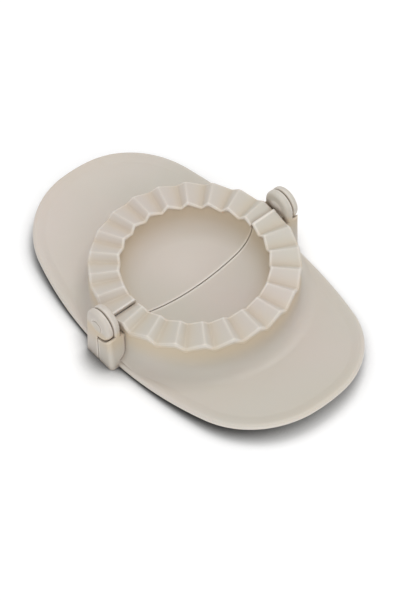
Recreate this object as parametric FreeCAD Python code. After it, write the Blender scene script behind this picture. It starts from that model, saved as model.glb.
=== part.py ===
"""Empanada press: two plastic halves with wing plates, hinged at both ends of the crimping ring.

All sizes are in millimetres. The origin is on the table under the middle of the press, with X along
its length, Y along the hinge line and Z up. The press is built lying open.
"""
import FreeCAD, Part
import math
import os

V = FreeCAD.Vector
AXIS_Y = V(0, 1, 0)
AXIS_Z = V(0, 0, 1)

# Crimping ring
crest_height = 25.9
ring_inner_radius = 36.0
ring_outer_radius = 50.8
wave_height = 2.6
valley_inset = 0.8
valley_outset = 0.4
ring_edge = 0.7
flange_thickness = 2.2
waves_per_half = 11.5

# One wave, clockwise from its crest: share of the pitch and share of the wave's height
wave_shares = [(0.0, 1.0), (0.07, 0.93), (0.6, 0.07), (0.665, 0.0), (0.72, 0.09), (0.945, 0.89)]

# Hollow dome under the ring
wall = 2.0
dome_setback = 0.4
dome_draft_degrees = 3.5
dome_foot_radius = 8.0

# Bowl
bowl_depth = 20.7
bowl_floor_radius = 85.0
bowl_corner_radius = 15.0
bowl_lip_overhang = 0.7
bowl_lip_step = 0.4

# Hinge ears and their running gaps
parting_gap = 0.5
axis_below_crest = 0.7
ear_radius = 8.3
ear_clearance = 0.4
ring_to_ear = 0.8
inner_ear_thickness = 3.9
outer_ear_thickness = 3.5
ear_edge_radius = 1.9
ear_slot_edge_radius = 0.9

# Hinge posts
post_foot_flare = 1.5
post_draft_degrees = 2.2
post_corner_radius = 2.0
post_root = 3.8
shoulder_below_axis = 3.6
bridge_below_valley = 0.3
core_wall = 2.0
slit_width = 0.45
slit_depth = 3.2
slit_floor = 1.3
ledge_below_valley = 2.8

# Hinge pins
pin_radius = 3.1
pin_running_clearance = 0.08
pin_bore_wall = 0.7
pin_end_clearance = 0.3
pin_proud = 0.3
pin_edge_radius = 0.25

# Wing plates
half_length = 94.2
post_beyond_plate = 3.9
end_radius_extra = 27.6
corner_radius_less = 11.2
side_radius_share = 1.3947219
plate_lift = 0.85
plate_thickness = 1.8
bow_radius = 490.0
rim_width = 8.2
rim_rise = 0.45
rim_edge_radius = 1.4
rim_slope_width = 5.0
rim_slope_rise = 0.75
plate_margin = 1.5

# Sizes that follow from the ones above
half_gap = parting_gap / 2
axis_height = crest_height - axis_below_crest
valley_height = crest_height - wave_height
notch_radius = ear_radius + ear_clearance
shoulder_height = axis_height - shoulder_below_axis
dome_top_radius = ring_outer_radius - dome_setback
bowl_opening_radius = ring_inner_radius + bowl_lip_overhang
inner_ear_start = ring_outer_radius + valley_outset + ring_to_ear
inner_ear_end = inner_ear_start + inner_ear_thickness
outer_ear_start = inner_ear_end + ear_clearance
outer_ear_end = outer_ear_start + outer_ear_thickness
post_start = inner_ear_start - post_root
post_foot_half_width = ear_radius + post_foot_flare
pin_bore_start = inner_ear_start + pin_bore_wall
pin_start = pin_bore_start + pin_end_clearance
half_width = outer_ear_end - post_beyond_plate
end_radius = half_width + end_radius_extra
corner_radius = half_width - corner_radius_less
side_radius = side_radius_share * half_length ** 2 / half_width

# Well outside everything, for the blocks that only cut or trim
reach_share = 1.3
deep_reach_share = 1.4
reach = reach_share * half_length
deep_reach = deep_reach_share * half_length

# Share that only absorbs rounding in sums
tiny_share = 1e-9


# Plain helpers
def block(x0, x1, y0, y1, z0, z1):
    return Part.makeBox(x1 - x0, y1 - y0, z1 - z0, V(x0, y0, z0))


def polar(radius, degrees, height):
    angle = math.radians(degrees)
    return V(radius * math.cos(angle), radius * math.sin(angle), height)


def along_y(points, y0, y1):
    corners = [V(x, y0, z) for x, z in points]
    face = Part.Face(Part.makePolygon(corners + corners[:1]))
    return face.extrude(V(0, y1 - y0, 0))


def round_edges(shape, radius, wanted):
    edges = [edge for edge in shape.Edges if wanted(edge)]
    return shape.makeFillet(radius, edges)


# Plan outline of the wing plates: three tangent arcs in each quarter
def outline_block(inset, z0, z1):
    end_centre = half_length - end_radius
    side_centre = half_width - side_radius
    reach_end = end_radius - corner_radius
    reach_side = side_radius - corner_radius
    apart = math.hypot(end_centre, side_centre)
    along = (reach_end ** 2 - reach_side ** 2 + apart ** 2) / (2 * apart)
    across = math.sqrt(reach_end ** 2 - along ** 2)
    ux = -end_centre / apart
    uy = side_centre / apart
    cx = end_centre + along * ux - across * uy
    cy = along * uy + across * ux
    if cy < 0:
        cx = end_centre + along * ux + across * uy
        cy = along * uy - across * ux
    turn_end = math.atan2(cy, cx - end_centre)
    turn_side = math.atan2(cy - side_centre, cx)
    turn_corner = (turn_end + turn_side) / 2
    small = corner_radius - inset
    end_point = V(cx + small * math.cos(turn_end), cy + small * math.sin(turn_end), z0)
    side_point = V(cx + small * math.cos(turn_side), cy + small * math.sin(turn_side), z0)
    corner_point = V(cx + small * math.cos(turn_corner), cy + small * math.sin(turn_corner), z0)
    tip = V(half_length - inset, 0, z0)
    side = V(0, half_width - inset, z0)

    def flip(point, sx, sy):
        return V(sx * point.x, sy * point.y, z0)

    arcs = [
        Part.Arc(flip(end_point, 1, -1), tip, end_point),
        Part.Arc(end_point, corner_point, side_point),
        Part.Arc(side_point, side, flip(side_point, -1, 1)),
        Part.Arc(flip(side_point, -1, 1), flip(corner_point, -1, 1), flip(end_point, -1, 1)),
        Part.Arc(flip(end_point, -1, 1), flip(tip, -1, 1), flip(end_point, -1, -1)),
        Part.Arc(flip(end_point, -1, -1), flip(corner_point, -1, -1), flip(side_point, -1, -1)),
        Part.Arc(flip(side_point, -1, -1), flip(side, 1, -1), flip(side_point, 1, -1)),
        Part.Arc(flip(side_point, 1, -1), flip(corner_point, 1, -1), flip(end_point, 1, -1)),
    ]
    wire = Part.Wire([arc.toShape() for arc in arcs])
    return Part.Face(wire).extrude(V(0, 0, z1 - z0))


# Everything below a bowed level that rises towards both wing tips
def below_bow(level, size):
    centre = V(0, -2 * size, level + bow_radius)
    rise = plate_lift + bow_radius - math.sqrt(bow_radius ** 2 - size ** 2)
    radius = bow_radius
    body = block(-size, size, -size, size, -size, level + rise)
    return body.cut(Part.makeCylinder(radius, 4 * size, centre, AXIS_Y))


# Drafted cone of the dome, moved inwards by the inset
def dome_cone(inset):
    slope = math.tan(math.radians(dome_draft_degrees))
    top = crest_height + wave_height
    low = -wave_height
    bottom_radius = dome_top_radius - inset + (crest_height - low) * slope
    top_radius = dome_top_radius - inset - wave_height * slope
    return Part.makeCone(bottom_radius, top_radius, top - low, V(0, 0, low), AXIS_Z)


# A bowed sheet with the dome standing on it, with a rounded foot, filled solid below
def hat(level, inset, size, foot_radius):
    body = below_bow(level, size).fuse(dome_cone(inset))

    def at_foot(edge):
        spots = edge.discretize(9)
        near = all(math.hypot(p.x, p.y) < dome_top_radius + 2 * wall for p in spots)
        return near and all(level - wall < p.z < crest_height for p in spots)
    return round_edges(body, foot_radius, at_foot)


# Height of the ring's top at a number of waves from the first crest
def ring_top(waves):
    phase = waves - math.floor(waves + tiny_share)
    points = wave_shares + [(1.0, 1.0)]
    for (start, low), (end, high) in zip(points, points[1:]):
        if start - tiny_share <= phase <= end + tiny_share:
            share = low + (high - low) * (phase - start) / (end - start)
            return valley_height + wave_height * share


# Angles of every fold of the wave along one half, with the height of the ring's top there
def wave_stations(first_degrees):
    pitch = 180.0 / waves_per_half
    folds = [wave + phase for wave in range(math.ceil(waves_per_half)) for phase, _ in wave_shares]
    folds = [fold for fold in folds if fold < waves_per_half - tiny_share] + [waves_per_half]
    return [(first_degrees - fold * pitch, ring_top(fold)) for fold in folds]


# Half of the crimping ring, as a ruled band with bevelled edges that widens in the valleys
def ring_band(first_degrees):
    sections = []
    for degrees, top in wave_stations(first_degrees):
        depth_share = (crest_height - top) / wave_height
        inner = ring_inner_radius - valley_inset * depth_share
        outer = ring_outer_radius + valley_outset * depth_share
        corners = [
            polar(bowl_opening_radius - bowl_lip_step, degrees, top - flange_thickness),
            polar(outer, degrees, top - flange_thickness),
            polar(outer, degrees, top - ring_edge),
            polar(outer - ring_edge, degrees, top),
            polar(inner + ring_edge, degrees, top),
            polar(inner, degrees, top - ring_edge),
        ]
        sections.append(Part.makePolygon(corners + corners[:1]))
    return Part.makeLoft(sections, True, True)


# All the space above the middle of the ring's thickness, to end the walls inside the ring
def above_ring(first_degrees):
    inner = ring_inner_radius - 3 * wall
    outer = ring_outer_radius + 5 * wall
    sections = []
    for degrees, top in wave_stations(first_degrees):
        low = top - flange_thickness / 2
        corners = [
            polar(inner, degrees, low),
            polar(outer, degrees, low),
            polar(outer, degrees, reach),
            polar(inner, degrees, reach),
        ]
        sections.append(Part.makePolygon(corners + corners[:1]))
    return Part.makeLoft(sections, True, True)


def bowl_shell():
    floor = crest_height - bowl_depth
    floor_centre = floor + bowl_floor_radius
    corner_x = bowl_opening_radius - bowl_corner_radius
    swing = bowl_floor_radius - bowl_corner_radius
    corner_z = floor_centre - math.sqrt(swing ** 2 - corner_x ** 2)
    tilt = math.atan2(corner_x, floor_centre - corner_z)

    def side(extra):
        big = bowl_floor_radius + extra
        small = bowl_corner_radius + extra
        half = tilt / 2
        turn = (tilt + math.pi / 2) / 2
        low = V(0, 0, floor_centre - big)
        middle = V(big * math.sin(half), 0, floor_centre - big * math.cos(half))
        meet = V(big * math.sin(tilt), 0, floor_centre - big * math.cos(tilt))
        bend = V(corner_x + small * math.sin(turn), 0, corner_z - small * math.cos(turn))
        rise = V(corner_x + small, 0, corner_z)
        top = V(corner_x + small, 0, crest_height + wave_height)
        edges = [
            Part.Arc(low, middle, meet).toShape(),
            Part.Arc(meet, bend, rise).toShape(),
            Part.LineSegment(rise, top).toShape(),
        ]
        return edges, low, top

    inner_edges, inner_low, inner_top = side(0)
    outer_edges, outer_low, outer_top = side(wall)
    closing = [
        Part.LineSegment(inner_low, outer_low).toShape(),
        Part.LineSegment(inner_top, outer_top).toShape(),
    ]
    edges = Part.__sortEdges__(inner_edges + outer_edges + closing)
    return Part.Face(Part.Wire(edges)).revolve(V(0, 0, 0), AXIS_Z, 360)


# Wing plates with their rounded rims, and the dome that stands on them
def wings_and_dome():
    plate_top = plate_lift + plate_thickness
    rim_top = plate_top + rim_rise
    outer = hat(plate_top, 0, reach, dome_foot_radius)
    inner = hat(plate_lift, wall, deep_reach, dome_foot_radius + wall)
    body = outer.cut(inner).common(outline_block(plate_margin, -half_width, half_width))
    band = outline_block(0, -half_width, half_width)
    band = band.cut(outline_block(rim_width, -half_width, half_width))
    rim = band.common(below_bow(rim_top, reach)).cut(below_bow(plate_lift, deep_reach))
    middle = outline_block(rim_width / 2, -half_width, half_width)

    def on_top(edge):
        spot = edge.discretize(3)[1]
        bow = bow_radius - math.sqrt(bow_radius ** 2 - spot.x ** 2)
        return abs(spot.z - rim_top - bow) < rim_rise / 4

    def is_outside(edge):
        return not middle.isInside(edge.discretize(3)[1], rim_rise / 4, True)

    rim = round_edges(rim, rim_edge_radius, lambda e: on_top(e) and is_outside(e))
    inner_edges = [edge for edge in rim.Edges if on_top(edge) and not is_outside(edge)]
    rim = rim.makeChamfer(rim_slope_width, rim_slope_rise, inner_edges)
    return body.fuse(rim.cut(dome_cone(wall / 2)))


# Half post on the side that the sign gives, cut off level at the given height
def half_post(sign, y0, y1, top, corner):
    full = axis_height + ear_radius * math.sin(math.radians(post_draft_degrees))
    shoulder_x = ear_radius * math.cos(math.radians(post_draft_degrees))
    edge_x = post_foot_half_width + (shoulder_x - post_foot_half_width) * top / full
    points = [
        (sign * half_gap, 0),
        (sign * post_foot_half_width, 0),
        (sign * edge_x, top),
        (sign * half_gap, top),
    ]
    body = along_y(points, y0, y1)
    if not corner:
        return body

    def is_corner(edge):
        box = edge.BoundBox
        outside = max(-box.XMin, box.XMax) > edge_x - ear_clearance
        return box.ZLength > top / 2 and box.YMin > y1 - ear_clearance and outside
    return round_edges(body, corner, is_corner)


# Hinge ear in one piece with its half post: straight drafted side, round top, rounded rims
def ear_post(sign, y0, y1, radius0, radius1):
    tilt = math.radians(post_draft_degrees)
    drop = math.sqrt(ear_radius ** 2 - half_gap ** 2)
    corner = V(sign * half_gap, y0, 0)
    foot = V(sign * post_foot_half_width, y0, 0)
    start = V(sign * ear_radius * math.cos(tilt), y0, axis_height + ear_radius * math.sin(tilt))
    over = V(-sign * ear_radius * math.cos(tilt), y0, axis_height + ear_radius * math.sin(tilt))
    end = V(sign * half_gap, y0, axis_height - drop)
    edges = [
        Part.LineSegment(corner, foot).toShape(),
        Part.LineSegment(foot, start).toShape(),
        Part.Arc(start, over, end).toShape(),
        Part.LineSegment(end, corner).toShape(),
    ]
    body = Part.Face(Part.Wire(edges)).extrude(V(0, y1 - y0, 0))

    def on_rim(edge, y):
        box = edge.BoundBox
        level = abs(box.YMin - y) < ear_clearance and abs(box.YMax - y) < ear_clearance
        return level and box.ZLength > ear_radius and max(-box.XMin, box.XMax) > 2 * half_gap

    if radius0:
        body = round_edges(body, radius0, lambda e: on_rim(e, y0))
    return round_edges(body, radius1, lambda e: on_rim(e, y1))


def notch(y0, y1):
    swing = Part.makeCylinder(notch_radius, y1 - y0, V(0, y0, axis_height), AXIS_Y)
    above = block(-reach, reach, y0, y1, shoulder_height, reach)
    return swing.fuse(above)


def post_core(sign):
    x0 = sign * (half_gap + core_wall)
    x1 = sign * (ear_radius - core_wall)
    y0 = dome_top_radius + core_wall + wall
    y1 = outer_ear_end - core_wall
    top = axis_height - notch_radius - core_wall
    return block(min(x0, x1), max(x0, x1), y0, y1, -wall, top)


# The dome and its rounded foot, grown by the slit's width, from the slit's floor upwards
def slit_reach_of_dome(floor, top):
    tilt = math.radians(dome_draft_degrees)
    centre_z = plate_lift + plate_thickness + dome_foot_radius
    out = (crest_height - centre_z) * math.tan(tilt) + dome_foot_radius / math.cos(tilt)
    centre_r = dome_top_radius + out
    swing = dome_foot_radius - slit_width
    foot_turn = math.asin((centre_z - floor) / swing)
    middle_turn = (tilt + foot_turn) / 2
    foot = V(centre_r - swing * math.cos(foot_turn), 0, floor)
    middle = V(centre_r - swing * math.cos(middle_turn), 0, centre_z - swing * math.sin(middle_turn))
    meet = V(centre_r - swing * math.cos(tilt), 0, centre_z - swing * math.sin(tilt))
    rise = V(meet.x - (top - meet.z) * math.tan(tilt), 0, top)
    edges = [
        Part.LineSegment(V(0, 0, floor), foot).toShape(),
        Part.Arc(foot, middle, meet).toShape(),
        Part.LineSegment(meet, rise).toShape(),
        Part.LineSegment(rise, V(0, 0, top)).toShape(),
        Part.LineSegment(V(0, 0, top), V(0, 0, floor)).toShape(),
    ]
    return Part.Face(Part.Wire(edges)).revolve(V(0, 0, 0), AXIS_Z, 360)


# Slit that parts the side of a post from the dome behind it, wide open beside the ring
def dome_slit(sign):
    x0 = sign * (ear_radius - slit_depth)
    x1 = sign * (post_foot_half_width + wall)
    floor = plate_lift + plate_thickness + slit_floor
    ledge = valley_height - ledge_below_valley
    side = block(min(x0, x1), max(x0, x1), 0, outer_ear_end, floor, ledge)
    above = block(min(x0, x1), max(x0, x1), 0, inner_ear_start, ledge, crest_height)
    return side.common(slit_reach_of_dome(floor, ledge)), above


# The far hinge's share of each half; the near hinge's is its mirror image
def left_hinge():
    inner = half_post(-1, post_start, outer_ear_start + ear_slot_edge_radius, axis_height, 0)
    inner = inner.cut(notch(post_start - wall, outer_ear_start + wall))
    outer = ear_post(-1, outer_ear_start, outer_ear_end, ear_slot_edge_radius, ear_edge_radius)
    body = outer.fuse(inner).cut([post_core(-1), *dome_slit(-1)])
    start = V(0, outer_ear_start - wall, axis_height)
    hole = Part.makeCylinder(pin_radius, outer_ear_end, start, AXIS_Y)
    return body.cut(hole)


def right_hinge():
    bridge = half_post(1, post_start, inner_ear_start, valley_height - bridge_below_valley, 0)
    inner = ear_post(1, inner_ear_start, inner_ear_end, ear_edge_radius, ear_slot_edge_radius)
    outer_start = inner_ear_end - ear_slot_edge_radius
    outer = half_post(1, outer_start, outer_ear_end, shoulder_height, post_corner_radius)
    outer = outer.cut(notch(inner_ear_end, outer_ear_end + wall))
    filler = half_post(1, post_start, outer_ear_start, axis_height - notch_radius, 0)
    ledge = valley_height - ledge_below_valley
    side = half_post(1, post_start, inner_ear_start + ear_edge_radius, ledge, 0)
    body = inner.fuse([bridge, outer, filler, side]).cut([post_core(1), *dome_slit(1)])
    radius = pin_radius + pin_running_clearance
    hole = Part.makeCylinder(radius, outer_ear_end, V(0, pin_bore_start, axis_height), AXIS_Y)
    return body.cut(hole)


def hinge_pin():
    length = outer_ear_end + pin_proud - pin_start
    pin = Part.makeCylinder(pin_radius, length, V(0, pin_start, axis_height), AXIS_Y)

    def at_end(edge):
        return edge.BoundBox.YLength < ear_clearance / 4
    return round_edges(pin, pin_edge_radius, at_end)


def near_side(shape):
    return shape.mirror(V(0, 0, 0), AXIS_Y)


# One half of the press: wing, dome, bowl and ring, with the hinge parts fused on
def half(sign, shell, bowl, hinge):
    first = 90.0 if sign > 0 else -90.0
    x0 = half_gap if sign > 0 else -reach
    x1 = reach if sign > 0 else -half_gap
    side = block(x0, x1, -reach, reach, -reach, reach)
    walls = shell.fuse(bowl).cut(above_ring(first))
    body = walls.fuse(ring_band(first)).common(side)
    return body.fuse([hinge, near_side(hinge)]).Solids[0]


def main():
    os.makedirs("parts", exist_ok=True)
    shell = wings_and_dome()
    bowl = bowl_shell()
    pin = hinge_pin()
    nodes = {
        "left_half": half(-1, shell, bowl, left_hinge()),
        "right_half": half(1, shell, bowl, right_hinge()),
        "near_hinge_pin": near_side(pin),
        "far_hinge_pin": pin,
    }
    for name, shape in nodes.items():
        box = shape.BoundBox
        print(name, shape.ShapeType, len(shape.Solids), shape.isValid(), round(shape.Volume), box)
        shape.exportStep("parts/" + name + ".step")


main()
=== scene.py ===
# %% [markdown]
# # An empanada press in moulded plastic
# The press is two pale plastic halves that lie open on a table. A round bowl sits in the middle,
# with a zigzag crimping ring round it, and each half has a wide wing to push on. Two hinges join
# the halves at the ends of the ring. The shapes come packed from the solid model, in metres, so
# this lesson is about what makes them look real: a moulded plastic finish, soft light and a camera
# that stands where the photographer stood.

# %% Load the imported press
import bpy
import bmesh
import math
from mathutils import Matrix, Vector

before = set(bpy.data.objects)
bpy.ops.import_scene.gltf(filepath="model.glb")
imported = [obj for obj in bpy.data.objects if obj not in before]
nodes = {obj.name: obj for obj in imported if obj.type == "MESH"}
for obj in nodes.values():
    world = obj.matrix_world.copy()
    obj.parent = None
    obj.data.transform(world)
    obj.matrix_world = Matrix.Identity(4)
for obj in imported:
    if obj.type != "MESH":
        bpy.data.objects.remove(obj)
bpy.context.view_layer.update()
millimetre = 0.001


def in_mm(lengths):
    return [round(length / millimetre, 1) for length in lengths]


print("nodes:", sorted(nodes))

# %% [markdown]
# ## A few small helpers
# Colours are easiest to pick as hex codes from a screen, but a shader wants linear light. One
# function turns one into the other. Materials are built from nodes, so a second helper adds a node,
# sets its options and fills its inputs, either with a value or with another node's output. Three
# short ones build on it: a ramp maps one range of values to another, a blend mixes two colours, and
# a product multiplies two values.

# %% Colour and node helpers
def shade(hex_code):
    channels = [int(hex_code[i:i + 2], 16) / 255 for i in (1, 3, 5)]
    linear = [c / 12.92 if c <= 0.04045 else ((c + 0.055) / 1.055) ** 2.4 for c in channels]
    return (*linear, 1.0)


def add_node(tree, kind, settings=None, **inputs):
    node = tree.nodes.new(kind)
    for name, value in (settings or {}).items():
        setattr(node, name, value)
    for name, value in inputs.items():
        name = name.replace("_", " ")
        socket = node.inputs[int(name)] if name.isdigit() else node.inputs[name]
        if isinstance(value, bpy.types.NodeSocket):
            tree.links.new(value, socket)
        else:
            socket.default_value = value
    return node


def ramp(tree, value, start, end, low=0.0, high=1.0, style="LINEAR"):
    node = add_node(tree, "ShaderNodeMapRange", {"interpolation_type": style}, Value=value,
                    From_Min=start, From_Max=end, To_Min=low, To_Max=high)
    return node.outputs["Result"]


def blend(tree, share, first, second):
    node = add_node(tree, "ShaderNodeMix", {"data_type": "RGBA"}, **{
        "0": share, "6": first, "7": second})
    return node.outputs[2]


def product(tree, first, second):
    node = add_node(tree, "ShaderNodeMath", {"operation": "MULTIPLY"}, **{"0": first, "1": second})
    return node.outputs["Value"]


print("one pale grey-beige in linear light:", [round(c, 3) for c in shade("#CAC2B8")])

# %% [markdown]
# ## The plastic of the two halves
# A kitchen moulding like this is polypropylene with a fine satin texture, which the steel mould
# prints on it as a grain of about a third of a millimetre. The colour drifts very slightly from
# pinkish to greyish over a few centimetres where the melt flowed, and handling polishes some
# patches more than others. A single flat colour would look like paint, so noise at those three
# real sizes drives colour, roughness and a little bump.
#
# Plastic edges are never sharp, so a bevel node rounds the shading over about a millimetre. Ridges
# also get a paler colour, a painted highlight, and narrow folds a darker one, a painted shade. An
# ambient occlusion node that looks into the wall finds the ridges, and one that looks outwards finds
# the folds. The walls just under the ring get a darker, warmer tint driven by the height on the half,
# a painted shade. All of this works on the shape itself, so it stays in place from every side.

# %% Moulded plastic
# Height band on the walls just under the ring that gets a painted warm shade.
below_ring_shade_starts = 8 * millimetre
below_ring_shade_full = 21 * millimetre
below_ring_shade_fades = 21.5 * millimetre
below_ring_shade_ends = 25.5 * millimetre
below_ring_shade_strength = 0.5
fold_reach = 3 * millimetre
fold_strength = 0.6
ridge_reach_share = 1.25
ridge_strength = 0.85
grain_depth_share = 0.25
grain_strength = 0.12
glow_depth = 2 * millimetre
glow_share = 0.12
glow_spread = (1.0, 0.75, 0.55)
plastic_refraction = 1.49


def moulded_plastic(name, colours, roughness, rounding, grain_size, flow_size, rub_size):
    material = bpy.data.materials.new(name)
    material.use_nodes = True
    tree = material.node_tree
    tree.nodes.clear()
    place = add_node(tree, "ShaderNodeTexCoord").outputs["Object"]
    soft = add_node(tree, "ShaderNodeBevel", {"samples": 8}, Radius=rounding)

    flow = add_node(tree, "ShaderNodeTexNoise", Vector=place, Scale=1 / flow_size, Detail=2.0)
    drifted = blend(tree, ramp(tree, flow.outputs["Fac"], 0.35, 0.65),
                    shade(colours["base"]), shade(colours["drift"]))

    inward = add_node(tree, "ShaderNodeAmbientOcclusion", {"samples": 12, "inside": True},
                      Distance=ridge_reach_share * rounding)
    # Ridges found by the inward occlusion turn paler: a painted highlight.
    ridge = ramp(tree, inward.outputs["AO"], 0.97, 0.68, high=ridge_strength)
    painted_ridge_highlight = blend(tree, ridge, drifted, shade(colours["painted_ridge_highlight"]))

    # The walls just under the ring get a darker, warmer colour by height: a painted shade.
    height = add_node(tree, "ShaderNodeSeparateXYZ", Vector=place).outputs["Z"]
    rise = ramp(tree, height, below_ring_shade_starts, below_ring_shade_full, high=below_ring_shade_strength, style="SMOOTHSTEP")
    fade = ramp(tree, height, below_ring_shade_ends, below_ring_shade_fades, style="SMOOTHSTEP")
    with_shade_below_ring = blend(tree, product(tree, rise, fade), painted_ridge_highlight, shade(colours["painted_shade_below_ring"]))

    # Narrow folds and creases found by the outward occlusion turn darker: a painted shade.
    nearby = add_node(tree, "ShaderNodeAmbientOcclusion", {"samples": 12}, Distance=fold_reach)
    fold = ramp(tree, nearby.outputs["AO"], 0.97, 0.6, high=fold_strength)
    with_fold_shade = blend(tree, fold, with_shade_below_ring, shade(colours["folds"]))

    patches = add_node(tree, "ShaderNodeTexNoise", Vector=place, Scale=1 / rub_size, Detail=4.0,
                       Roughness=0.6)
    sheen = ramp(tree, patches.outputs["Fac"], 0.3, 0.7, roughness - 0.05, roughness + 0.06)

    grain = add_node(tree, "ShaderNodeTexNoise", Vector=place, Scale=1 / grain_size, Detail=2.0)
    bump = add_node(tree, "ShaderNodeBump", Strength=grain_strength,
                    Distance=grain_depth_share * grain_size, Height=grain.outputs["Fac"],
                    Normal=soft.outputs["Normal"])

    plastic = add_node(tree, "ShaderNodeBsdfPrincipled", Base_Color=with_fold_shade, Roughness=sheen,
                       Normal=bump.outputs["Normal"], IOR=plastic_refraction,
                       Subsurface_Weight=glow_share, Subsurface_Scale=glow_depth,
                       Subsurface_Radius=glow_spread)
    add_node(tree, "ShaderNodeOutputMaterial", Surface=plastic.outputs["BSDF"])
    print(name, "has", len(tree.nodes), "nodes; grain", round(grain_size / millimetre, 2),
          "mm, flow", round(flow_size / millimetre, 1), "mm")
    return material


# The dark fold colour is a painted shade in creases.
# The pale ridge colour is a painted highlight.
# The warm colour under the ring is a painted shade.
press_colours = {"base": "#CCC2B9", "drift": "#C8C2B7", "painted_ridge_highlight": "#EAE3DA",
                 "painted_shade_below_ring": "#CFB892", "folds": "#A8998A"}
press_plastic = moulded_plastic("satin_press_polypropylene", press_colours, roughness=0.48,
                                rounding=1.3 * millimetre, grain_size=0.35 * millimetre,
                                flow_size=60 * millimetre, rub_size=13 * millimetre)

# %% [markdown]
# ## The plastic of the hinge pins
# The pins are moulded on their own, from the same plastic. They are smoother than the halves,
# because their steel mould is polished, and their tiny drift of colour is finer.

# %% Pin plastic
# The dark fold colour is a painted shade in creases.
# The pale ridge colour is a painted highlight.
# The warm colour under the ring is a painted shade.
pin_colours = {"base": "#C9C1B6", "drift": "#C4BCB1", "painted_ridge_highlight": "#DCD4CA",
               "painted_shade_below_ring": "#C4B299", "folds": "#A8998A"}
pin_plastic = moulded_plastic("smooth_pin_polypropylene", pin_colours, roughness=0.36,
                              rounding=0.3 * millimetre, grain_size=0.2 * millimetre,
                              flow_size=9 * millimetre, rub_size=4 * millimetre)

# %% [markdown]
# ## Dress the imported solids
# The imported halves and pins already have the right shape, so they keep their meshes and only change
# what fills their material slots. Both halves wear one finish, because they are moulded alike.

# %% Put the finishes on the nodes
finishes = {
    "left_half": press_plastic,
    "right_half": press_plastic,
    "near_hinge_pin": pin_plastic,
    "far_hinge_pin": pin_plastic,
}
for node_name, finish in finishes.items():
    for slot in nodes[node_name].material_slots:
        slot.material = finish
    print(node_name, "wears", finish.name)

# %% [markdown]
# ## The table
# The press stands on a plain white surface, as in a catalogue picture. One large flat grid is
# enough. It is matt, so it gives no mirror image. Under the low rims and round the feet it holds a
# tight dark shadow, which an ambient occlusion node deepens. The node leans a little towards the
# lamp behind the press, so the shadow falls to the viewer's side. A little light of its own, seen
# only by the camera, keeps the open part of the table white, and more so far from the lamps.

# %% Floor
floor_half_size = 3.0
open_colour = "#FCFCFC"
shadow_colour = "#555352"
shadow_reach = 13 * millimetre
shadow_lean = {"X": 0.05, "Y": 0.25, "Z": 0.967}
shadow_full = 0.25
lift_near = 0.12
lift_far = 0.45
lift_starts = 0.2
lift_full = 1.0


def white_table_paint():
    material = bpy.data.materials.new("matt_white_floor")
    material.use_nodes = True
    tree = material.node_tree
    tree.nodes.clear()
    lean = add_node(tree, "ShaderNodeCombineXYZ", **shadow_lean)
    near = add_node(tree, "ShaderNodeAmbientOcclusion", {"samples": 16}, Distance=shadow_reach,
                    Normal=lean.outputs["Vector"])
    open_share = ramp(tree, near.outputs["AO"], shadow_full, 1.0, style="SMOOTHSTEP")
    tone = blend(tree, open_share, shade(shadow_colour), shade(open_colour))
    paint = add_node(tree, "ShaderNodeBsdfDiffuse", Color=tone)

    seen = add_node(tree, "ShaderNodeLightPath").outputs["Is Camera Ray"]
    spot = add_node(tree, "ShaderNodeTexCoord").outputs["Object"]
    away = add_node(tree, "ShaderNodeVectorMath", {"operation": "LENGTH"}, **{"0": spot})
    lift = ramp(tree, away.outputs["Value"], lift_starts, lift_full, lift_near, lift_far,
                style="SMOOTHSTEP")
    glow = add_node(tree, "ShaderNodeEmission",
                    Strength=product(tree, product(tree, open_share, seen), lift))
    both = add_node(tree, "ShaderNodeAddShader", **{
        "0": paint.outputs["BSDF"], "1": glow.outputs["Emission"]})
    add_node(tree, "ShaderNodeOutputMaterial", Surface=both.outputs["Shader"])
    return material


def matt_floor():
    mesh = bpy.data.meshes.new("studio_floor")
    shape = bmesh.new()
    bmesh.ops.create_grid(shape, x_segments=2, y_segments=2, size=floor_half_size)
    shape.to_mesh(mesh)
    shape.free()
    mesh.materials.append(white_table_paint())
    table = bpy.data.objects.new("studio_floor", mesh)
    bpy.context.collection.objects.link(table)
    return table


floor = matt_floor()
print("floor:", [round(v, 2) for v in floor.dimensions])

# %% [markdown]
# ## Light
# The photograph has soft light from nearly everywhere: a bright plain room, a wide lamp high behind
# the press and a broad low fill from the viewer's side, which keeps the near wall and the hinge
# posts from going dark. Together they light a level surface at about strength one, so a colour
# renders about as it is written. Each lamp's level is the share that it gives such a surface.

# %% Lamps and room
def soft_lamp(name, place, size, level):
    lamp = bpy.data.lights.new(name, "AREA")
    lamp.shape = "DISK"
    lamp.size = size
    place = Vector(place)
    lamp.energy = level * math.pi ** 2 * place.length ** 3 / place.z
    thing = bpy.data.objects.new(name, lamp)
    bpy.context.collection.objects.link(thing)
    thing.location = place
    thing.rotation_euler = (-place).to_track_quat("-Z", "Y").to_euler()
    print(name, "stands", round(place.length, 2), "m away and gives", round(lamp.energy, 2), "W")


room_light = 0.62
room_seen = 1.0


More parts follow.
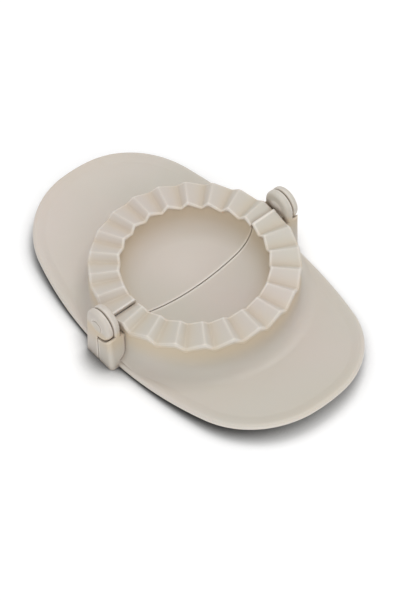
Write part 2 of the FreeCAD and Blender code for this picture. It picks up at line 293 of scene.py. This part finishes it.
def plain_bright_room():
    room = bpy.data.worlds.new("plain_bright_room")
    room.use_nodes = True
    tree = room.node_tree
    tree.nodes.clear()
    looked_at = add_node(tree, "ShaderNodeLightPath").outputs["Is Camera Ray"]
    level = ramp(tree, looked_at, 0.0, 1.0, room_light, room_seen)
    walls = add_node(tree, "ShaderNodeBackground", Color=shade("#FFFFFF"), Strength=level)
    add_node(tree, "ShaderNodeOutputWorld", Surface=walls.outputs["Background"])
    print("the room lights the press at", room_light, "and looks as bright as", room_seen)
    return room


soft_lamp("wide_lamp_above", place=(-0.16, 0.3, 1.12), size=0.6, level=0.32)
soft_lamp("broad_fill_in_front", place=(0.75, -0.55, 0.42), size=0.8, level=0.09)
bpy.context.scene.world = plain_bright_room()

# %% [markdown]
# ## The camera
# The photograph was measured against the solids: the lens stands 0.91 m from the ring, 50 degrees
# round from the front and 51 degrees up. Aiming a little below the ring's middle puts the press
# where the photograph has it, with no lens shift.

# %% Camera
camera_place = Vector((0.4391, -0.3748, 0.7294))
ring_middle = Vector((0, 0, 25.9 * millimetre))
aim_to_the_right = 2.67 * millimetre
aim_below = 19.0 * millimetre
focal_length_mm = 114.73
sensor_width_mm = 36.0
farthest_seen = 20.0

straight = (ring_middle - camera_place).normalized()
camera_right = straight.cross(Vector((0, 0, 1))).normalized()
camera_up = camera_right.cross(straight)
aim = ring_middle + camera_right * aim_to_the_right - camera_up * aim_below

lens = bpy.data.cameras.new("photo_lens")
lens.lens = focal_length_mm
lens.sensor_width = sensor_width_mm
lens.clip_end = farthest_seen
camera = bpy.data.objects.new("photo_camera", lens)
bpy.context.collection.objects.link(camera)
camera.location = camera_place
camera.rotation_euler = (aim - camera_place).to_track_quat("-Z", "Y").to_euler()
bpy.context.scene.camera = camera
print("camera aims at", in_mm(aim), "mm")

# %% [markdown]
# ## Plain colours
# The standard view transform shows a colour as it was written, which suits a plain object like
# this.

# %% Plain view settings
bpy.context.scene.view_settings.view_transform = "Standard"
print("view transform:", bpy.context.scene.view_settings.view_transform)
